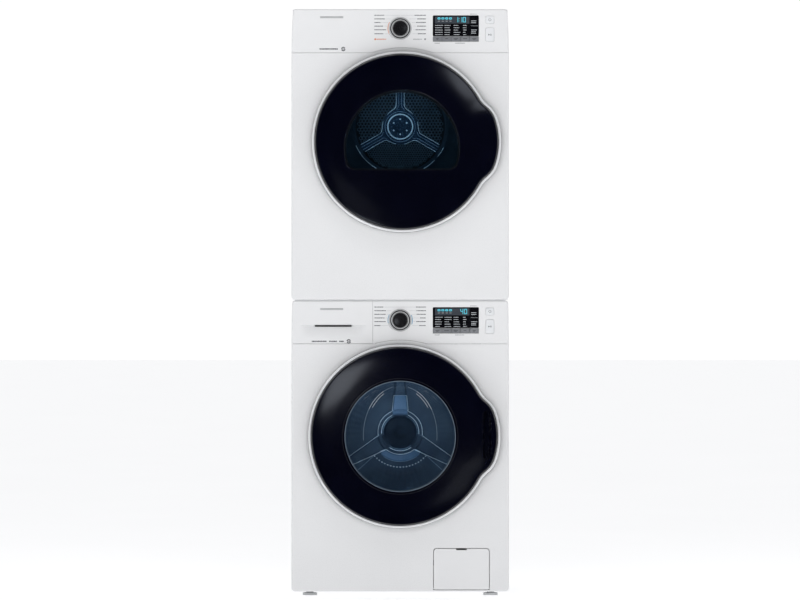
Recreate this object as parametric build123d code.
from build123d import *

import os
from dataclasses import dataclass
from math import acos, atan2, cos, degrees, hypot, radians, sin, sqrt

# A compact front-loading washer with a matching tumble dryer stacked on it.
# Millimetres. +Z is up, the doors face -Y and the origin is on the floor under the stack's middle.
# "Depth" is the distance behind the front face: it is negative in front of the face.

# ---- driving dimensions ----
WIDTH = 600.0
UNIT_HEIGHT = 802.0
BODY_DEPTH = 590.0
DOOR_PROUD = 58.0
REAR_REACH = 25.0
FOOT_HEIGHT = 12.0
STACK_GAP = 3.0

HALF_WIDTH = WIDTH / 2
FACE_Y = DOOR_PROUD - (DOOR_PROUD + BODY_DEPTH + REAR_REACH) / 2

# Sheet metal and fascias
SHEET = 2.0
PANEL_THICKNESS = 2.5
PANEL_WRAP = 20.0
PANEL_EDGE_FILLET = 4.0
TAPER_HEIGHT = 140.0
SEAM_GAP = 0.8
CABINET_HALF = HALF_WIDTH - 3.0
BACK_SPLIT = 190.0
SERVICE_LOW = 220.0
SERVICE_WIDTH = 330.0
SERVICE_HEIGHT = 380.0
TOP_PLATE_HEIGHT = 18.0
TOP_PLATE_HALF = HALF_WIDTH - 3.5
ARCH_MARGIN = 10.0

# Door outline: a circle with a bulge for the hand on the side away from the hinge
BULGE = 23.0
BULGE_APEX_RADIUS = 207.0
BULGE_APEX_ANGLE = radians(18.0)
BULGE_CORNER_RADIUS = 80.0
BULGE_BLEND_RADIUS = 80.0
DOOR_GAP = 3.0
RING_WIDTH = 9.0
RING_FRONT = -40.0
LINER_FRONT = -14.0
COVER_SHELL = 5.0
GRIP_HALF_HEIGHT = 67.0
GRIP_WIDTH = 21.0
GRIP_FROM_APEX = 28.0
WASHER_WINDOW_RADIUS = 156.0
WASHER_BOWL_RADIUS = 150.0
DRYER_WINDOW_RADIUS = 158.0
DRYER_WINDOW_DROP = -17.0
DRYER_WINDOW_FOOT = -60.0

# Door hinge: the pin stands in front of the face, inside the door
HINGE_INSET = 12.0
HINGE_DEPTH = -30.0
HINGE_PIN_RADIUS = 3.0
KNUCKLE_RADIUS = 6.0
KNUCKLE_HALF = 23.0
LUG_OUTER = 34.0
LUG_GAP = 1.5
RUNNING_CLEARANCE = 0.05

# Controls, measured down from the top edge of each machine
KNOB_DROP = 53.3
KNOB_RADIUS = 31.0
KNOB_CAP_RADIUS = 23.5
KNOB_PROUD = 24.0
SPINDLE_RADIUS = 3.0
DISPLAY_LEFT = 90.0
DISPLAY_WIDTH = 127.0
DISPLAY_DROP = 17.5
DISPLAY_HEIGHT = 57.0
OPTION_HEIGHT = 14.0
OPTION_COUNT = 5
BUTTON_LEFT = 236.0
BUTTON_WIDTH = 23.0
POWER_DROP = 19.0
POWER_HEIGHT = 20.5
START_DROP = 51.4
START_HEIGHT = 38.5
BUTTON_PROUD = 1.2
BUTTON_CLEARANCE = 0.4

# Washer tub and drum
PORT_RADIUS = 176.0
TUB_RADIUS = 255.0
TUB_WALL = 5.0
TUB_FRONT = 98.3
TUB_BACK = 470.0
WASHER_DRUM_RADIUS = 240.0
WASHER_DRUM_FRONT = 112.0
WASHER_DRUM_BACK = 450.0
WASHER_SHAFT_RADIUS = 12.5
WASHER_PULLEY_RADIUS = 140.0
WASHER_MOTOR_PULLEY_RADIUS = 18.0
WASHER_MOTOR_X = 150.0
WASHER_MOTOR_DROP = 291.5
WASHER_BELT_NEAR = 499.0
WASHER_BELT_FAR = 511.0
SPRING_X = (-215.0, 215.0)
SPRING_DEPTH = 380.0
SPRING_TOP = 770.0
SPRING_LOW = 620.0
DAMPER_X = (-110.0, 110.0)
DAMPER_DEPTH = 220.0
DAMPER_TOP = 195.0
WATER_PORTS = ((-240.0, 700.0, 13.2), (-185.0, 700.0, 13.2), (215.0, 640.0, 10.0))

# Detergent drawer
DRAWER_RIGHT = -76.0
TRAY_LEFT = -272.0
TRAY_RIGHT = -92.0
TRAY_LOW = 708.0
TRAY_HIGH = 766.0
TRAY_NEAR = 16.0
TRAY_FAR = 260.0
TRAY_GAP = 2.0
TRAY_WALL = 2.0
GRIP_LEFT = -273.0
GRIP_RIGHT = -92.0
SLOT_LEFT = -236.0
SLOT_RIGHT = -134.0
GRIP_LOW = 715.0
GRIP_HIGH = 747.0
SCOOP_DEPTH = 12.0

# Drain filter hatch and pump
HATCH_LEFT = 92.5
HATCH_WIDTH = 153.0
HATCH_LOW = 17.5
HATCH_HEIGHT = 113.0
HATCH_GAP = 1.5
HATCH_PIN_RADIUS = 1.5
HATCH_PIN_Z = HATCH_LOW + 3.0
HATCH_PIN_DEPTH = 3.0
PUMP_X = 172.0
PUMP_Z = 74.0

# Dryer drum, air path and drive
DRYER_PORT_RADIUS = 185.0
DRYER_DRUM_RADIUS = 268.0
DRYER_DRUM_FRONT = 88.0
DRYER_DRUM_BACK = 500.0
DRYER_SHAFT_RADIUS = 10.0
DRYER_AXIS_RISE = 58.0
DRYER_MOTOR_X = 150.0
DRYER_MOTOR_RISE = 83.0
DRYER_PULLEY_RADIUS = 12.0
DRYER_BELT_NEAR = 280.0
DRYER_BELT_FAR = 290.0
BULKHEAD_DEPTH = 64.0
LINT_HALF_WIDTH = 118.0
LINT_NEAR = 36.0
LINT_FAR = 52.0
EXHAUST_RADIUS = 50.5


@dataclass
class Machine:
    """Where one of the two machines stands and how its front is laid out."""

    name: str
    base: float
    door_x: float
    door_rise: float
    door_radius: float
    seam_rise: float
    port_radius: float
    side_taper: float

    @property
    def top(self):
        return self.base + UNIT_HEIGHT

    @property
    def door_z(self):
        return self.base + self.door_rise

    @property
    def seam(self):
        return self.base + self.seam_rise

    @property
    def hinge_x(self):
        return self.door_x - self.door_radius + HINGE_INSET


WASHER = Machine("washer", FOOT_HEIGHT, 0.0, 429.5, 254.0, 683.0, PORT_RADIUS, 2.0)
DRYER_BASE = FOOT_HEIGHT + UNIT_HEIGHT + STACK_GAP
DRYER = Machine("dryer", DRYER_BASE, 6.0, 435.0, 250.0, 681.0, DRYER_PORT_RADIUS, 4.0)
MACHINES = (WASHER, DRYER)
DRYER_AXIS_Z = DRYER.door_z + DRYER_AXIS_RISE
LINT_TOP = DRYER.door_z - DRYER_PORT_RADIUS + 10
LINT_LOW = LINT_TOP - 130


# ---- helpers ----
def slab(sketch, near, far):
    """A front-view sketch (x, z) extruded from depth near to depth far."""
    plane = Plane(origin=(0, FACE_Y + far, 0), x_dir=(1, 0, 0), z_dir=(0, -1, 0))
    return extrude(plane * sketch, far - near)


def block(left, right, low, high, near, far):
    """A box between two x values, two heights and two depths."""
    size = (right - left, far - near, high - low)
    centre = ((left + right) / 2, FACE_Y + (near + far) / 2, (low + high) / 2)
    return Pos(*centre) * Box(*size)


def turned(points, x, z):
    """A solid of revolution about the line along Y through (x, z), from (radius, depth) points."""
    profile = make_face(Polyline(*points, close=True))
    return Pos(x, FACE_Y, z) * revolve(profile, Axis.Y, 360)


def rod(radius, x, z, near, far):
    """A round bar along Y."""
    return slab(Pos(x, z) * Circle(radius), near, far)


def cross_pin(radius, left, right):
    """A round bar along X on the hatch's hinge line."""
    centre = ((left + right) / 2, FACE_Y + HATCH_PIN_DEPTH, HATCH_PIN_Z)
    return Pos(*centre) * Rot(0, 90, 0) * Cylinder(radius, right - left)


def post(radius, x, depth, low, high):
    """A round bar along Z."""
    centre = (x, FACE_Y + depth, (low + high) / 2)
    return Pos(*centre) * Cylinder(radius, high - low)


def rounded(left, low, width, height, corner):
    """A rectangle with round corners in the front view, placed by its lower left corner."""
    return Pos(left + width / 2, low + height / 2) * RectangleRounded(width, height, corner)


def front_edges(solid, depth):
    """The edges that lie wholly at one depth."""
    y = FACE_Y + depth
    return solid.edges().filter_by_position(Axis.Y, y - 0.01, y + 0.01)


def belt_loop(x1, z1, r1, x2, z2, r2, near, far, thickness=2.5, clearance=0.3):
    """A flat belt stretched round two pulleys."""

    def hull(extra):
        rims = Sketch() + [Pos(x1, z1) * Circle(r1 + extra), Pos(x2, z2) * Circle(r2 + extra)]
        return make_hull(rims.edges())

    return slab(hull(clearance + thickness) - hull(clearance), near, far)


def sectors(shape, x, z, count):
    """The parts of a shape that lie in equal sectors round the fore-and-aft line through (x, z)."""
    reach, parts = 2 * WIDTH, []
    for step in range(count):
        turns = [radians(360 * edge / count) for edge in (step, step + 1)]
        corners = [(reach * cos(turn), reach * sin(turn)) for turn in turns]
        wedge = make_face(Polyline((0, 0), *corners, close=True))
        parts += (shape & slab(Pos(x, z) * wedge, -DOOR_PROUD - 2, BODY_DEPTH)).solids()
    return parts


def save(node, *shapes):
    """Writes one node, with each shape kept as a solid of its own."""
    solids = [s for shape in shapes for s in shape.solids()]
    export_step(Compound(children=solids) if len(solids) > 1 else solids[0], f"parts/{node}.step")


# ---- fronts ----
def unit_outline(m):
    """The front view of a whole machine: straight sides that draw in a little towards the top."""
    top_half = HALF_WIDTH - m.side_taper
    low_corner, high_corner = 10.0, 8.0
    lean = m.top - TAPER_HEIGHT
    half = make_face([
        Line((0, m.base), (HALF_WIDTH - low_corner, m.base)),
        RadiusArc((HALF_WIDTH - low_corner, m.base), (HALF_WIDTH, m.base + low_corner), -low_corner),
        Line((HALF_WIDTH, m.base + low_corner), (HALF_WIDTH, lean)),
        TangentArc((HALF_WIDTH, lean), (top_half, m.top - high_corner), tangent=(0, 1)),
        RadiusArc((top_half, m.top - high_corner), (top_half - high_corner, m.top), -high_corner),
        Line((top_half - high_corner, m.top), (0, m.top)),
        Line((0, m.top), (0, m.base)),
    ])
    return half + mirror(half, Plane.YZ)


def fascia(m, face_at, holes):
    """A moulded front: a thin plate with its rim turned back, and holes through it."""
    whole = slab(unit_outline(m), 0, PANEL_WRAP)
    whole = fillet(front_edges(whole, 0), PANEL_EDGE_FILLET)
    body = whole & slab(face_at(m, 0), -1, PANEL_WRAP + 1)
    body -= slab(face_at(m, PANEL_THICKNESS), PANEL_THICKNESS, PANEL_WRAP + 1)
    for hole in holes:
        body -= slab(hole, -1, PANEL_WRAP + 1)
    return body


def front_face(m, inset=0.0):
    """The face below the seam, with an arch that follows the door's top."""
    low, high = m.base + inset, m.seam - inset
    below = Pos(0, (low + high) / 2) * Rectangle(2 * WIDTH, high - low)
    arch = Pos(m.door_x, m.door_z) * Circle(m.door_radius + ARCH_MARGIN - inset)
    outline = offset(unit_outline(m), -inset) if inset else unit_outline(m)
    return outline & (below + arch)


def front_panel(m):
    """The lower front sheet with its loading port."""
    holes = [Pos(m.door_x, m.door_z) * Circle(m.port_radius), lock_slot(m)]
    if m is DRYER:
        return fascia(m, front_face, holes)
    gap = HATCH_GAP
    holes.append(hatch_face(gap, 10.0, 3.0))
    panel = fascia(m, front_face, holes)
    # Two bored bosses beside the hatch opening take the hatch's pins.
    low, right = HATCH_LOW - 1, HATCH_LEFT + HATCH_WIDTH
    for x in (HATCH_LEFT - gap - 7, right + gap):
        panel += block(x, x + 7, low, low + 8, PANEL_THICKNESS - 0.5, 6.5)
    bore = cross_pin(HATCH_PIN_RADIUS + RUNNING_CLEARANCE, HATCH_LEFT - gap - 7.5, right + gap + 7.5)
    return panel - bore


def lock_slot(m):
    """The slot that the door's strike passes through."""
    x = m.door_x + (m.door_radius + m.port_radius) / 2
    return Pos(x, m.door_z) * Rectangle(18, 34)


def control_face(m, inset=0.0):
    """The strip above the seam, less the arch over the door."""
    low, high = m.seam + SEAM_GAP + inset, m.top - inset
    above = Pos(0, (low + high) / 2) * Rectangle(2 * WIDTH, high - low)
    arch = Pos(m.door_x, m.door_z) * Circle(m.door_radius + ARCH_MARGIN + SEAM_GAP + inset)
    outline = offset(unit_outline(m), -inset) if inset else unit_outline(m)
    return outline & above - arch


def display_face(m, grow=0.0):
    low = m.top - DISPLAY_DROP - DISPLAY_HEIGHT
    return rounded(DISPLAY_LEFT - grow, low - grow, DISPLAY_WIDTH + 2 * grow, DISPLAY_HEIGHT + 2 * grow, 3.0)


def option_face(m, index, grow=0.0):
    """One of the keys in the row under the display."""
    pitch = DISPLAY_WIDTH / OPTION_COUNT
    left = DISPLAY_LEFT + index * pitch + BUTTON_CLEARANCE
    low = m.top - DISPLAY_DROP - DISPLAY_HEIGHT - 1.0 - OPTION_HEIGHT
    width = pitch - 2 * BUTTON_CLEARANCE
    return rounded(left - grow, low - grow, width + 2 * grow, OPTION_HEIGHT + 2 * grow, 1.0)


def button_face(m, drop, height, grow=0.0):
    low = m.top - drop - height
    return rounded(BUTTON_LEFT - grow, low - grow, BUTTON_WIDTH + 2 * grow, height + 2 * grow, 4.0)


def option_slot(m):
    """One slot in the fascia for the whole row of option keys."""
    low = m.top - DISPLAY_DROP - DISPLAY_HEIGHT - 1.0 - OPTION_HEIGHT - BUTTON_CLEARANCE
    return rounded(DISPLAY_LEFT, low, DISPLAY_WIDTH, OPTION_HEIGHT + 2 * BUTTON_CLEARANCE, 1.2)


def control_panel(m):
    """The control strip, with a bored boss for the knob's spindle."""
    knob_z = m.top - KNOB_DROP
    holes = [
        display_face(m, 0.2),
        option_slot(m),
        button_face(m, POWER_DROP, POWER_HEIGHT, BUTTON_CLEARANCE),
        button_face(m, START_DROP, START_HEIGHT, BUTTON_CLEARANCE),
    ]
    panel = fascia(m, control_face, holes) + rod(8, 0, knob_z, PANEL_THICKNESS - 0.5, 11)
    panel -= rod(SPINDLE_RADIUS + RUNNING_CLEARANCE, 0, knob_z, -1, 12)
    if m is WASHER:
        gap, back = TRAY_GAP, PANEL_WRAP - SHEET
        low, high = TRAY_LOW - gap, TRAY_HIGH + gap
        panel -= block(-WIDTH, DRAWER_RIGHT + SEAM_GAP, m.base, m.top + 1, -1, back)
        opening = block(TRAY_LEFT - gap, TRAY_RIGHT + gap, low, high, back - 1, PANEL_WRAP + 1)
        left = -HALF_WIDTH + m.side_taper + 1
        panel += block(left, DRAWER_RIGHT + 5, m.seam + SEAM_GAP, m.top - 3, back, PANEL_WRAP) - opening
    return panel


# ---- cabinets ----
def cabinet(m, pipe_hole=None):
    """Two sides, a floor and a back in two sheets. The upper back has a service opening."""
    near, far, back = PANEL_WRAP, BODY_DEPTH - SHEET, BODY_DEPTH
    high = m.top - TOP_PLATE_HEIGHT
    inner, flange = CABINET_HALF - SHEET, CABINET_HALF - 14
    sides = []
    for side in (-1, 1):
        outer_x, inner_x, flange_x = side * CABINET_HALF, side * inner, side * flange
        wall = block(*sorted((inner_x, outer_x)), m.base, high, near, back)
        sides.append(wall + block(*sorted((flange_x, inner_x)), m.base + SHEET, high, near, near + SHEET))
    floor = block(-inner, inner, m.base, m.base + SHEET, near, back)
    if m is WASHER:
        for x, depth in foot_places():
            floor -= post(5.2, x, depth, m.base - 1, m.base + SHEET + 1)
    split = m.base + BACK_SPLIT
    lower = block(-inner, inner, m.base + SHEET, split, far, back)
    if pipe_hole:
        lower -= slab(pipe_hole, far - 1, back + 1)
    upper = block(-inner, inner, split, high, far, back)
    opening = rounded(-SERVICE_WIDTH / 2, m.base + SERVICE_LOW, SERVICE_WIDTH, SERVICE_HEIGHT, 20)
    upper -= slab(opening, far - 1, back + 1)
    return [*sides, floor, lower, upper]


def washer_cabinet():
    *rest, upper = cabinet(WASHER)
    for x, z, radius in WATER_PORTS:
        upper -= rod(radius + 4, x, z, BODY_DEPTH - SHEET - 1, BODY_DEPTH + 1)
    for side, x in zip((-1, 1), SPRING_X):
        left, right = sorted((x - side * 12, side * (CABINET_HALF - SHEET)))
        rest.append(block(left, right, SPRING_TOP, SPRING_TOP + 4, SPRING_DEPTH - 15, SPRING_DEPTH + 15))
    return [*rest, upper]


def dryer_cabinet():
    """The cabinet with a cross beam that carries the drum's rear bearing."""
    pipe_hole = Pos(DRYER_MOTOR_X, DRYER.base + DRYER_MOTOR_RISE) * Circle(EXHAUST_RADIUS + 1.5)
    inner, axis_z = CABINET_HALF - SHEET, DRYER_AXIS_Z
    beam = block(-inner, inner, axis_z - 35, axis_z + 35, 556, BODY_DEPTH - SHEET)
    beam -= rod(DRYER_SHAFT_RADIUS + RUNNING_CLEARANCE, 0, axis_z, 550, BODY_DEPTH)
    return [*cabinet(DRYER, pipe_hole), beam]


def top_plate(m):
    low = m.top - TOP_PLATE_HEIGHT
    plate = block(-TOP_PLATE_HALF, TOP_PLATE_HALF, low, m.top, PANEL_WRAP + 2, BODY_DEPTH)
    upright = plate.edges().filter_by(Axis.Z).sort_by(Axis.Y)[-2:]
    plate = fillet(upright, 12)
    return fillet(plate.faces().sort_by(Axis.Z)[-1].edges(), 3)


def rear_cover(m):
    """The service cover, its screws and the bush that the mains lead would pass through."""
    low, tall, wide = m.base + 205, 410.0, 360.0
    near, far = BODY_DEPTH, BODY_DEPTH + SHEET
    plate = slab(rounded(-wide / 2, low, wide, tall, 25), near, far)
    screws = []
    for x in (-wide / 2 + 10, wide / 2 - 10):
        for z in (low + 60, low + tall / 2, low + tall - 60):
            screws.append(rod(4.5, x, z, far, far + 2.5))
    gland_x, gland_z = 250.0, m.base + 700
    bush = [(7, near), (15, near), (15, near + 4), (11, near + 14), (7, near + 14)]
    return plate, *screws, turned(bush, gland_x, gland_z)


# ---- feet and stacking ----
def foot_places():
    return [(x, depth) for x in (-250.0, 250.0) for depth in (60.0, 540.0)]


def leveling_feet():
    feet = []
    for x, depth in foot_places():
        pad = post(20, x, depth, 0, 7)
        nut = Pos(x, FACE_Y + depth, 7) * extrude(RegularPolygon(10, 6), FOOT_HEIGHT - 7)
        feet.append(fillet(pad.edges().sort_by(Axis.Z)[-1], 2) + nut + post(5, x, depth, 0, 34))
        feet.append(post(20, x, depth, WASHER.top, DRYER.base))
    return feet


def stacking_brackets():
    pieces = []
    for side in (-1, 1):
        x = side * 225.0
        plate = rounded(x - 35, WASHER.top - 50, 70, 100 + STACK_GAP, 8)
        pieces.append(slab(plate, BODY_DEPTH, BODY_DEPTH + SHEET))
        for z in (WASHER.top - 32, DRYER.base + 32):
            for dx in (-20, 20):
                pieces.append(rod(5, x + dx, z, BODY_DEPTH + SHEET, BODY_DEPTH + SHEET + 3))
    return pieces


# ---- doors ----
def door_outline(m, inset=0.0):
    """The door seen from the front: five tangent arcs a side, drawn inset mm inside the rim."""
    radius = m.door_radius
    apex_x = radius + BULGE - BULGE_APEX_RADIUS
    reach = BULGE_APEX_RADIUS - BULGE_CORNER_RADIUS
    corner = (apex_x + reach * cos(BULGE_APEX_ANGLE), reach * sin(BULGE_APEX_ANGLE))
    # The blend arc touches the main circle and the corner arc from outside.
    to_blend = radius + BULGE_BLEND_RADIUS
    between = BULGE_BLEND_RADIUS + BULGE_CORNER_RADIUS
    to_corner = hypot(*corner)
    spread = acos((to_blend**2 + to_corner**2 - between**2) / (2 * to_blend * to_corner))
    turn = atan2(corner[1], corner[0]) + spread
    blend = (to_blend * cos(turn), to_blend * sin(turn))

    def at(centre, r, angle):
        return centre[0] + r * cos(angle), centre[1] + r * sin(angle)

    def arc(centre, r, start, end):
        middle = (start + end) / 2
        return ThreePointArc(at(centre, r, start), at(centre, r, middle), at(centre, r, end))

    toward = atan2(blend[1] - corner[1], blend[0] - corner[0])
    back = toward - radians(180)
    upper = [
        arc((apex_x, 0), BULGE_APEX_RADIUS - inset, 0, BULGE_APEX_ANGLE),
        arc(corner, BULGE_CORNER_RADIUS - inset, BULGE_APEX_ANGLE, toward),
        arc(blend, BULGE_BLEND_RADIUS + inset, back, turn - radians(180)),
        arc((0, 0), radius - inset, turn, radians(180)),
    ]
    closing = Line((-radius + inset, 0), (radius + BULGE - inset, 0))
    half = make_face([*upper, closing])
    return Pos(m.door_x, m.door_z) * (half + mirror(half, Plane.XZ))


def hinge_notch(m, half_height):
    """The space at the door's edge that the hinge arm swings through."""
    x = m.hinge_x
    low, high = m.door_z - half_height, m.door_z + half_height
    return block(x - 30, x + 30, low, high, HINGE_DEPTH - 7, 0)


def door_ring(m):
    """The bright rim, which is also the door's side wall."""
    ring = slab(door_outline(m), RING_FRONT, -DOOR_GAP)
    ring = fillet(front_edges(ring, RING_FRONT), 3)
    ring -= slab(door_outline(m, RING_WIDTH), RING_FRONT - 1, 0)
    return ring - hinge_notch(m, LUG_OUTER + 1)


def grip_slot(m):
    """The upright slot with round ends that the fingers go into."""
    right = m.door_x + m.door_radius + BULGE - GRIP_FROM_APEX
    height = 2 * GRIP_HALF_HEIGHT
    return Pos(right - GRIP_WIDTH / 2, m.door_z + 4) * RectangleRounded(GRIP_WIDTH, height, 10)


def window_face(m, inset=0.0):
    """The see-through part of the door: round on the washer, an arch with a flat foot on the dryer."""
    if m is WASHER:
        return Pos(m.door_x, m.door_z) * Circle(WASHER_WINDOW_RADIUS - inset)
    x, z = m.door_x - 1.0, m.door_z + DRYER_WINDOW_DROP
    keep = Pos(x, z + DRYER_WINDOW_FOOT + inset + WIDTH / 2) * Rectangle(WIDTH, WIDTH)
    face = Pos(x, z) * Circle(DRYER_WINDOW_RADIUS - inset) & keep
    return fillet(face.vertices(), 24)


def door_cover(m):
    """The dark outer shell with its window opening and finger grip."""
    outer = RING_WIDTH + 0.3
    cover = slab(door_outline(m, outer), -DOOR_PROUD, RING_FRONT + 2)
    cover = fillet(front_edges(cover, -DOOR_PROUD), 13)
    hollow = door_outline(m, outer + COVER_SHELL) - offset(window_face(m), COVER_SHELL)
    if m is DRYER:
        hollow -= offset(grip_slot(m), COVER_SHELL)
    cover -= slab(hollow, -DOOR_PROUD + COVER_SHELL, 0)
    cover -= slab(window_face(m), -DOOR_PROUD - 1, 0)
    grip_floor = 0 if m is WASHER else RING_FRONT - 2
    return cover - slab(grip_slot(m), -DOOR_PROUD - 1, grip_floor)


def washer_cover_parts():
    """The washer door's shell in plain segments, divided round the window and round its finger slot."""
    m, cover = WASHER, door_cover(WASHER)
    right = m.door_x + m.door_radius + BULGE - GRIP_FROM_APEX
    left, middle = right - GRIP_WIDTH, right - GRIP_WIDTH / 2
    low, high = (m.door_z + 4 + side * (GRIP_HALF_HEIGHT - 10) for side in (-1, 1))
    near, far, reach = -DOOR_PROUD - 1, 0, WIDTH
    parts = sectors(cover & block(-reach, left, 0, m.top, near, far), m.door_x, m.door_z, 12)
    parts += (cover & block(right, reach, low, high, near, far)).solids()
    parts += sectors(cover & block(left, reach, high, m.top, near, far), middle, high, 6)
    return parts + sectors(cover & block(left, reach, 0, low, near, far), middle, low, 6)


def hinge_lugs(m):
    """Two lugs on the door that turn on the hinge pin."""
    x, lugs = m.hinge_x, []
    for side in (-1, 1):
        low, high = sorted((side * (KNUCKLE_HALF + LUG_GAP), side * LUG_OUTER))
        eye = post(KNUCKLE_RADIUS, x, HINGE_DEPTH, m.door_z + low, m.door_z + high)
        web = block(x - KNUCKLE_RADIUS, x + 12, m.door_z + low, m.door_z + high, HINGE_DEPTH, -DOOR_GAP)
        lugs.append(eye + web)
    bore = post(HINGE_PIN_RADIUS + RUNNING_CLEARANCE, x, HINGE_DEPTH, m.door_z - 40, m.door_z + 40)
    return [lug - bore for lug in lugs]


def strike(m):
    """The hook that the lock catches."""
    x = m.door_x + (m.door_radius + m.port_radius) / 2
    shank = block(x - 4, x + 1, m.door_z - 9, m.door_z + 9, LINER_FRONT, 16)
    return shank + block(x - 4, x + 4, m.door_z - 9, m.door_z + 9, 11, 16)


def door_liner(m):
    """The inner frame that closes the back of the door and carries the lugs and the strike."""
    liner = slab(door_outline(m, RING_WIDTH + 0.3), LINER_FRONT, -DOOR_GAP)
    liner -= hinge_notch(m, KNUCKLE_HALF + 1)
    liner -= block(m.hinge_x - 30, m.hinge_x - KNUCKLE_RADIUS, m.door_z - 35, m.door_z + 35, -20, 0)
    for lug in hinge_lugs(m):
        liner += lug
    liner += strike(m)
    if m is WASHER:
        return liner - rod(WASHER_BOWL_RADIUS + 0.4, m.door_x, m.door_z, -20, 1)
    plug = [(0, -DOOR_GAP), (174, -DOOR_GAP), (166, 20), (0, 20)]
    liner += turned(plug, m.door_x, m.door_z)
    hollow = [(0, LINER_FRONT + 4), (162, LINER_FRONT + 4), (162, 16), (0, 16)]
    liner -= turned(hollow, m.door_x, m.door_z)
    return liner - slab(window_face(m, 4), -20, 30)


def washer_door_glass():
    """The bulged glass that keeps the laundry in the drum."""
    flange, front, wall = 166.0, LINER_FRONT - 6.0, 5.0
    mouth = WASHER_BOWL_RADIUS
    outside = [(flange, front), (flange, LINER_FRONT - 0.3), (mouth, LINER_FRONT - 0.3)]
    deep = [(mouth, 0), (118, 66), (96, 74), (0, 78)]
    inside = [(0, 78 - wall), (94, 74 - wall), (114, 64 - wall), (mouth - wall, 0), (mouth - wall, front)]
    return turned([*outside, *deep, *inside], WASHER.door_x, WASHER.door_z)


def dryer_door_window():
    """Two flat panes with an air gap."""
    face = window_face(DRYER, -5)
    inner = window_face(DRYER, 4.4)
    return slab(face, LINER_FRONT - 8, LINER_FRONT - 4), slab(inner, 12, 16)


def door_hinge(m):
    """The bracket on the face and the pin that it holds."""
    x, z = m.hinge_x, m.door_z
    low, high = z - KNUCKLE_HALF, z + KNUCKLE_HALF
    bracket = post(KNUCKLE_RADIUS, x, HINGE_DEPTH, low, high)
    bracket += block(x, x + 25, low, high, HINGE_DEPTH - 4, HINGE_DEPTH + 4)
    bracket += block(x + 19, x + 25, low, high, HINGE_DEPTH, 0)
    bracket += block(x + 19, x + 60, low, high, -2.6, 0)
    pin_hole = post(HINGE_PIN_RADIUS + 0.02, x, HINGE_DEPTH, low - 1, high + 1)
    pin = post(HINGE_PIN_RADIUS, x, HINGE_DEPTH, z - LUG_OUTER, z + LUG_OUTER)
    return bracket - pin_hole, pin


def door_lock(m):
    """The catch behind the face, open at the front where the strike comes in."""
    x = m.door_x + (m.door_radius + m.port_radius) / 2
    z = m.door_z
    body = block(x - 14, x + 14, z - 42, z + 42, PANEL_THICKNESS, 38)
    return body - block(x - 9, x + 9, z - 17, z + 17, 0, 28)


# ---- controls ----
def knob(m):
    z = m.top - KNOB_DROP
    skirt = [(0, -1), (KNOB_RADIUS, -1), (KNOB_RADIUS, -5), (KNOB_RADIUS - 3, -9)]
    cap = [(KNOB_CAP_RADIUS, -9), (KNOB_CAP_RADIUS, -KNOB_PROUD + 4), (KNOB_CAP_RADIUS - 4, -KNOB_PROUD)]
    return turned([*skirt, *cap, (0, -KNOB_PROUD)], 0, z) + rod(SPINDLE_RADIUS, 0, z, -2, 14)


def push_button(face):
    return slab(face, -BUTTON_PROUD, 6)


# ---- washer mechanism ----
def door_gasket():
    """The rubber bellows between the port and the tub."""
    profile = [
        (163, -1), (175.5, -1), (175.5, 2.6), (184, 2.6), (184, 6.6), (167, 6.6), (167, 25), (182, 37),
        (182, 65), (167, 77), (167, 98), (163, 98), (163, 74), (178, 62), (178, 40), (163, 28),
    ]
    return turned(profile, WASHER.door_x, WASHER.door_z)


def washer_tub():
    mouth, hub = 166.0, 35.0
    bore = WASHER_SHAFT_RADIUS + RUNNING_CLEARANCE
    inner = TUB_RADIUS - TUB_WALL
    profile = [
        (mouth, TUB_FRONT), (TUB_RADIUS, TUB_FRONT), (TUB_RADIUS, TUB_BACK), (hub, TUB_BACK), (hub, 495),
        (bore, 495), (bore, 455), (hub, 455), (hub, TUB_BACK - TUB_WALL), (inner, TUB_BACK - TUB_WALL),
        (inner, TUB_FRONT + TUB_WALL), (mouth, TUB_FRONT + TUB_WALL),
    ]
    lugs = []
    for x in SPRING_X:
        foot = WASHER.door_z + 0.85 * sqrt(TUB_RADIUS**2 - (abs(x) - 12) ** 2)
        lugs.append(block(x - 12, x + 12, foot, SPRING_LOW, SPRING_DEPTH - 8, SPRING_DEPTH + 8))
    for x in DAMPER_X:
        foot = WASHER.door_z - sqrt(TUB_RADIUS**2 - x**2)
        lugs.append(block(x - 10, x + 10, DAMPER_TOP, foot + 12, DAMPER_DEPTH - 10, DAMPER_DEPTH + 10))
    room = rod(inner, WASHER.door_x, WASHER.door_z, TUB_FRONT + 20, TUB_BACK - 20)
    tub = turned(profile, WASHER.door_x, WASHER.door_z)
    for lug in lugs:
        tub += lug - room
    return tub


def washer_counterweights():
    ring = turned([(197, 46), (248, 46), (248, 97.5), (197, 97.5)], WASHER.door_x, WASHER.door_z)
    top = block(-70, 160, 640, 752, 190, 350)
    return ring, top - rod(TUB_RADIUS + 0.5, WASHER.door_x, WASHER.door_z, 100, 480)


def washer_drum():
    radius, wall, mouth = WASHER_DRUM_RADIUS, 2.0, 172.0
    shaft = WASHER_SHAFT_RADIUS
    profile = [
        (mouth, WASHER_DRUM_FRONT), (radius, WASHER_DRUM_FRONT), (radius, WASHER_DRUM_BACK),
        (shaft, WASHER_DRUM_BACK), (shaft, 520), (0, 520), (0, WASHER_DRUM_BACK - wall),
        (radius - wall, WASHER_DRUM_BACK - wall), (radius - wall, WASHER_DRUM_FRONT + wall),
        (mouth, WASHER_DRUM_FRONT + wall),
    ]
    return turned(profile, WASHER.door_x, WASHER.door_z)


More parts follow.
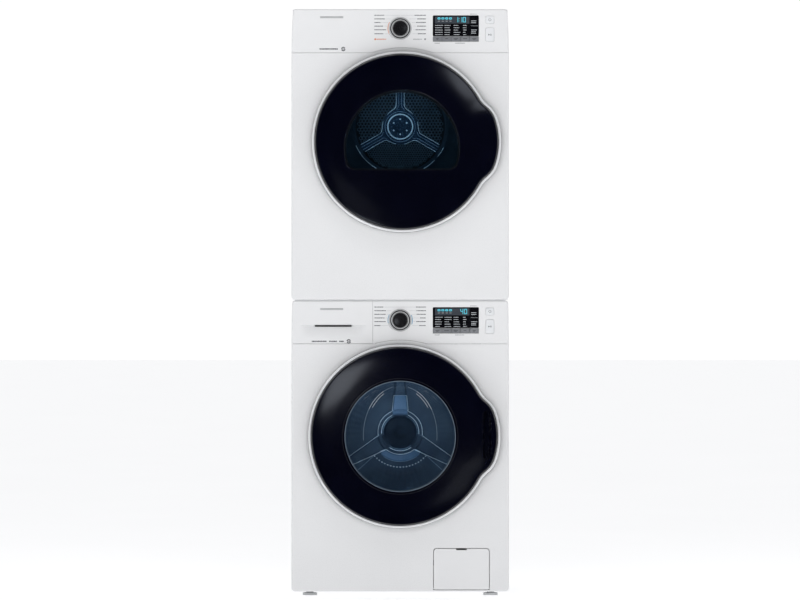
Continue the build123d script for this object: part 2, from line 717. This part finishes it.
def lifters(inner_radius, near, far, height, base_width, x, z, first_angle):
    """Three paddles along a drum's wall, a third of a turn apart."""
    made = []
    for step in range(3):
        rib = Polygon(
            (inner_radius + 10, -base_width / 2), (inner_radius + 10, base_width / 2),
            (inner_radius - height, base_width / 6), (inner_radius - height, -base_width / 6), align=None,
        )
        rib = rib & Circle(inner_radius - 0.3)
        made.append(slab(Pos(x, z) * Rot(0, 0, first_angle + 120 * step) * rib, near, far))
    return made


def washer_drum_pulley():
    shaft, rim = WASHER_SHAFT_RADIUS, WASHER_PULLEY_RADIUS
    profile = [
        (shaft, 498), (28, 498), (28, 503), (rim - 8, 503), (rim - 8, 498), (rim, 498), (rim, 512),
        (rim - 8, 512), (rim - 8, 507), (28, 507), (28, 514), (shaft, 514),
    ]
    return turned(profile, WASHER.door_x, WASHER.door_z)


def washer_motor():
    x, z = WASHER_MOTOR_X, WASHER.door_z - WASHER_MOTOR_DROP
    body = rod(60, x, z, 330, 470)
    body = fillet(body.edges(), 8)
    body -= rod(6 + RUNNING_CLEARANCE, x, z, 400, 480)
    arm = block(x - 40, x + 20, z + 30, z + 90, 395, 410)
    return body + (arm - rod(TUB_RADIUS + 0.5, WASHER.door_x, WASHER.door_z, 380, 480))


def washer_motor_pulley():
    x, z = WASHER_MOTOR_X, WASHER.door_z - WASHER_MOTOR_DROP
    return rod(6, x, z, 405, 513) + rod(WASHER_MOTOR_PULLEY_RADIUS, x, z, 497, 513)


def washer_springs():
    """The springs that the tub hangs from."""
    springs = []
    for x in SPRING_X:
        coil = post(14, x, SPRING_DEPTH, SPRING_LOW + 0.3, SPRING_TOP - 0.3)
        springs.append(coil - post(10, x, SPRING_DEPTH, SPRING_LOW, SPRING_TOP))
    return springs


def washer_dampers():
    """Friction struts between the tub and the floor of the cabinet."""
    struts = []
    for x in DAMPER_X:
        barrel = post(14, x, DAMPER_DEPTH, WASHER.base + SHEET + 0.2, 120)
        struts.append(barrel + post(5, x, DAMPER_DEPTH, 110, DAMPER_TOP - 0.3))
    return struts


def dispenser_box():
    """The fixed housing that the drawer runs in."""
    wall, gap = 2.0, TRAY_GAP
    left, right = TRAY_LEFT - gap, TRAY_RIGHT + gap
    low, high = TRAY_LOW - gap, TRAY_HIGH + gap
    box = block(left - wall, right + wall, low - wall, high + wall, PANEL_WRAP + 0.2, TRAY_FAR + 20)
    return box - block(left, right, low, high, 0, TRAY_FAR + 18)


def detergent_drawer():
    """The tray with its three compartments."""
    tray = block(TRAY_LEFT, TRAY_RIGHT, TRAY_LOW, TRAY_HIGH, TRAY_NEAR, TRAY_FAR)
    pitch = (TRAY_RIGHT - TRAY_LEFT - TRAY_WALL) / 3
    for step in range(3):
        left = TRAY_LEFT + TRAY_WALL + step * pitch
        right = left + pitch - TRAY_WALL
        tray -= block(left, right, TRAY_LOW + TRAY_WALL, TRAY_HIGH + 1, TRAY_NEAR + 4, TRAY_FAR - TRAY_WALL)
    return tray


def drawer_front():
    """The left third of the control strip, with a scoop and a slot to pull it by."""
    face = control_face(WASHER) & Pos(DRAWER_RIGHT - WIDTH / 2, WASHER.top) * Rectangle(WIDTH, WIDTH)
    front = slab(face, 0, TRAY_NEAR - 0.2)
    front = fillet(front_edges(front, 0), 2.0)
    side = [(0, GRIP_LOW), (0, GRIP_HIGH), (SCOOP_DEPTH, GRIP_HIGH), (SCOOP_DEPTH, GRIP_HIGH - 8)]
    plan = Plane(origin=(GRIP_LEFT, 0, 0), x_dir=(0, 1, 0), z_dir=(1, 0, 0))
    profile = make_face(Polyline(*[(FACE_Y - 0.01 + d, z) for d, z in side], close=True))
    scoop = extrude(plan * profile, GRIP_RIGHT - GRIP_LEFT)
    pocket = block(SLOT_LEFT, SLOT_RIGHT, GRIP_HIGH - 8, GRIP_HIGH + 9, 5, SCOOP_DEPTH)
    return front - scoop - pocket


def drain_pump():
    """The pump with its filter cap behind the hatch."""
    cap = [(0, 8), (6, 8), (6, 14), (33, 14), (33, 22), (0, 22)]
    flange = block(PUMP_X - 62, PUMP_X + 62, PUMP_Z - 42, PUMP_Z + 44, 22, 25)
    body = turned([(0, 25), (36, 25), (36, 110), (28, 118), (28, 175), (0, 175)], PUMP_X, PUMP_Z)
    spout = rod(12, PUMP_X - 70, PUMP_Z + 14, 60, 84)
    spout += block(PUMP_X - 70, PUMP_X, PUMP_Z + 4, PUMP_Z + 24, 62, 82)
    wing = block(PUMP_X - 26, PUMP_X + 26, PUMP_Z - 3, PUMP_Z + 3, 6, 15)
    return turned(cap, PUMP_X, PUMP_Z) + wing + flange + body + spout


def water_connectors():
    """Hot and cold inlets and the drain outlet, through the back sheet."""
    pieces = []
    for x, z, radius in WATER_PORTS:
        reach = BODY_DEPTH + REAR_REACH
        inside = block(x - 20, x + 20, z - 20, z + 20, 548, BODY_DEPTH - SHEET - 0.5)
        neck = rod(radius + 2, x, z, BODY_DEPTH - 10, BODY_DEPTH + 2)
        spigot = rod(radius, x, z, BODY_DEPTH + 2, reach)
        pieces.append(inside + neck + spigot - rod(radius - 4, x, z, BODY_DEPTH - 20, reach + 1))
    return pieces


def hatch_face(grow, top_corner, foot_corner):
    """The hatch from the front, grown all round, with small corners at the hinge."""
    wide, high = HATCH_WIDTH + 2 * grow, HATCH_HEIGHT + 2 * grow
    face = Pos(HATCH_LEFT + HATCH_WIDTH / 2, HATCH_LOW + HATCH_HEIGHT / 2) * Rectangle(wide, high)
    face = fillet(face.vertices().sort_by(Axis.Y)[:2], foot_corner)
    return fillet(face.vertices().sort_by(Axis.Y)[-2:], top_corner)


def filter_hatch():
    """The flap over the drain filter, on two pins at its foot."""
    flap = slab(hatch_face(0, 9.0, 4.0), 0, 2.5)
    flap = fillet(front_edges(flap, 0), 0.8)
    middle, right = HATCH_LEFT + HATCH_WIDTH / 2, HATCH_LEFT + HATCH_WIDTH
    top = HATCH_LOW + HATCH_HEIGHT
    flap -= block(middle - 14.5, middle + 14.5, top - 4, top + 1, -1, 3)
    for near, far in ((HATCH_LEFT + 3, HATCH_LEFT + 11), (right - 11, right - 3)):
        flap += block(near, far, HATCH_PIN_Z - 1.8, HATCH_PIN_Z + 6, 2, HATCH_PIN_DEPTH + 1.8)
    flap += cross_pin(HATCH_PIN_RADIUS, HATCH_LEFT - HATCH_GAP - 6.5, HATCH_LEFT + 6)
    return flap + cross_pin(HATCH_PIN_RADIUS, right - 6, right + HATCH_GAP + 6.5)


# ---- dryer mechanism ----
def dryer_bulkhead():
    """The wall in front of the drum, with the loading tunnel, the drum's rim seat and the filter well."""
    m, depth = DRYER, BULKHEAD_DEPTH
    port = rod(DRYER_PORT_RADIUS, m.door_x, m.door_z, -1, depth + 5)
    half = LINT_HALF_WIDTH + 3
    near, far = LINT_NEAR - 3, LINT_FAR + 3
    wall = block(-290, 290, m.base + 110, m.top - 24, depth, depth + 2) - port
    tunnel = rod(DRYER_PORT_RADIUS + 5, m.door_x, m.door_z, PANEL_THICKNESS + 0.3, depth) - port
    tunnel -= block(-half, half, LINT_LOW, LINT_TOP + 60, near, far)
    seat = rod(DRYER_DRUM_RADIUS - 12, 0, DRYER_AXIS_Z, depth + 2, DRYER_DRUM_FRONT - 2)
    seat -= rod(DRYER_DRUM_RADIUS - 15, 0, DRYER_AXIS_Z, depth + 1, DRYER_DRUM_FRONT)
    low, high = LINT_LOW - 3, m.door_z - DRYER_PORT_RADIUS - 5.5
    well = [
        block(-half - 2, half + 2, low, high, near - 2, near),
        block(-half - 2, half + 2, low, high, far, far + 2),
        block(-half - 2, -half, low, high, near, far),
        block(half, half + 2, low, high, near, far),
        block(-half, half, low, low + 2, near, far),
    ]
    layers = [(0, near), (near, far), (far, depth)]
    tunnel = [tunnel & block(-WIDTH, WIDTH, m.base, m.top, *layer) for layer in layers]
    parts = [part for layer in tunnel for part in sectors(layer, m.door_x, m.door_z, 8)]
    return sectors(wall, m.door_x, m.door_z, 8) + parts + sectors(seat, 0, DRYER_AXIS_Z, 8) + well


def lint_filter():
    """A framed screen that pulls up out of its well by a lip at the top."""
    half = LINT_HALF_WIDTH
    frame = block(-half, half, LINT_LOW, LINT_TOP, LINT_NEAR, LINT_FAR)
    frame -= block(-half + 8, half - 8, LINT_LOW + 8, LINT_TOP - 8, LINT_NEAR + 4, LINT_FAR - 4)
    frame -= slab(rounded(-half + 14, LINT_LOW + 14, 2 * half - 28, 96, 8), LINT_NEAR - 1, LINT_NEAR + 5)
    return frame + block(-40, 40, LINT_TOP, LINT_TOP + 9, LINT_NEAR + 5, LINT_FAR - 5)


def dryer_drum():
    radius, wall = DRYER_DRUM_RADIUS, 2.0
    shaft, mouth = DRYER_SHAFT_RADIUS, DRYER_DRUM_RADIUS - 8
    profile = [
        (mouth, DRYER_DRUM_FRONT), (radius, DRYER_DRUM_FRONT), (radius, DRYER_DRUM_BACK),
        (shaft, DRYER_DRUM_BACK), (shaft, 580), (0, 580), (0, DRYER_DRUM_BACK - wall),
        (radius - wall, DRYER_DRUM_BACK - wall), (radius - wall, DRYER_DRUM_FRONT + wall),
        (mouth, DRYER_DRUM_FRONT + wall),
    ]
    drum = turned(profile, 0, DRYER_AXIS_Z)
    near, far = DRYER_DRUM_FRONT + 22, DRYER_DRUM_BACK - 12
    return drum, *lifters(radius - wall, near, far, 50, 60, 0, DRYER_AXIS_Z, 30)


def dryer_motor():
    x, z = DRYER_MOTOR_X, DRYER.base + DRYER_MOTOR_RISE
    body = fillet(rod(58, x, z, 300, 430).edges(), 8)
    body -= rod(6 + RUNNING_CLEARANCE, x, z, 290, 440)
    foot = block(x - 45, x + 45, DRYER.base + SHEET + 0.2, z - 30, 320, 410)
    return body + (foot - rod(58, x, z, 310, 420))


def dryer_motor_pulley():
    """The motor's shaft with the belt pulley at one end and the fan wheel at the other."""
    x, z = DRYER_MOTOR_X, DRYER.base + DRYER_MOTOR_RISE
    pulley = rod(DRYER_PULLEY_RADIUS, x, z, DRYER_BELT_NEAR - 1, DRYER_BELT_FAR + 1)
    shaft = rod(6, x, z, DRYER_BELT_NEAR - 4, 500)
    fan = turned([(5, 452), (20, 452), (20, 494), (70, 494), (70, 497), (5, 497)], x, z)
    for step in range(12):
        blade = Pos(x, z) * Rot(0, 0, 30 * step) * Pos(45, 0) * Rectangle(48, 3)
        fan += slab(blade, 458, 495)
    return pulley + shaft + fan


def exhaust_duct():
    """The fan housing and the pipe that leaves through the back."""
    x, z = DRYER_MOTOR_X, DRYER.base + DRYER_MOTOR_RISE
    bore, end = EXHAUST_RADIUS - 2, BODY_DEPTH + REAR_REACH
    housing = [(40, 444), (80, 444), (80, 508), (bore, 508), (bore, 506), (78, 506), (78, 446), (40, 446)]
    pipe = rod(EXHAUST_RADIUS, x, z, 508, end) - rod(bore, x, z, 500, end + 1)
    return turned(housing, x, z), pipe


# ---- write every node ----
def main():
    os.makedirs("parts", exist_ok=True)
    save("washer_cabinet", *washer_cabinet())
    save("dryer_cabinet", *dryer_cabinet())
    save("top_plates", *[top_plate(m) for m in MACHINES])
    save("rear_covers", *[piece for m in MACHINES for piece in rear_cover(m)])
    save("leveling_feet", *leveling_feet())
    save("stacking_brackets", *stacking_brackets())
    save("door_hardware", *[piece for m in MACHINES for piece in (*door_hinge(m), door_lock(m))])
    save("display_windows", *[slab(display_face(m), -0.3, 2) for m in MACHINES])
    for m in MACHINES:
        save(f"{m.name}_front_panel", front_panel(m))
        save(f"{m.name}_control_panel", control_panel(m))
        save(f"{m.name}_door_ring", door_ring(m))
        save(f"{m.name}_door_cover", *(washer_cover_parts() if m is WASHER else [door_cover(m)]))
        save(f"{m.name}_door_liner", door_liner(m))
        save(f"{m.name}_program_knob", knob(m))
        save(f"{m.name}_power_button", push_button(button_face(m, POWER_DROP, POWER_HEIGHT)))
        save(f"{m.name}_start_button", push_button(button_face(m, START_DROP, START_HEIGHT)))
        for index in range(OPTION_COUNT):
            save(f"{m.name}_option_button_{index + 1}", push_button(option_face(m, index)))
    save("washer_door_glass", washer_door_glass())
    save("washer_door_gasket", door_gasket())
    save("washer_tub", washer_tub())
    save("washer_counterweights", *washer_counterweights())
    save("washer_drum", washer_drum())
    save("washer_drum_lifters", *lifters(238, 125, 438, 45, 66, WASHER.door_x, WASHER.door_z, 30))
    save("washer_drum_pulley", washer_drum_pulley())
    save("washer_motor", washer_motor())
    save("washer_motor_pulley", washer_motor_pulley())
    motor_z = WASHER.door_z - WASHER_MOTOR_DROP
    save("washer_drive_belt", belt_loop(
        WASHER.door_x, WASHER.door_z, WASHER_PULLEY_RADIUS,
        WASHER_MOTOR_X, motor_z, WASHER_MOTOR_PULLEY_RADIUS, WASHER_BELT_NEAR, WASHER_BELT_FAR,
    ))
    save("washer_springs", *washer_springs())
    save("washer_dampers", *washer_dampers())
    save("washer_dispenser_box", dispenser_box())
    save("washer_detergent_drawer", detergent_drawer())
    save("washer_drawer_front", drawer_front())
    save("washer_drain_pump", drain_pump())
    save("washer_filter_hatch", filter_hatch())
    save("washer_water_connectors", *water_connectors())
    save("dryer_door_window", *dryer_door_window())
    save("dryer_front_bulkhead", *dryer_bulkhead())
    save("dryer_lint_filter", lint_filter())
    save("dryer_drum", *dryer_drum())
    save("dryer_motor", dryer_motor())
    save("dryer_motor_pulley", dryer_motor_pulley())
    save("dryer_drive_belt", belt_loop(
        0, DRYER_AXIS_Z, DRYER_DRUM_RADIUS,
        DRYER_MOTOR_X, DRYER.base + DRYER_MOTOR_RISE, DRYER_PULLEY_RADIUS, DRYER_BELT_NEAR, DRYER_BELT_FAR,
    ))
    save("dryer_exhaust_duct", *exhaust_duct())


main()
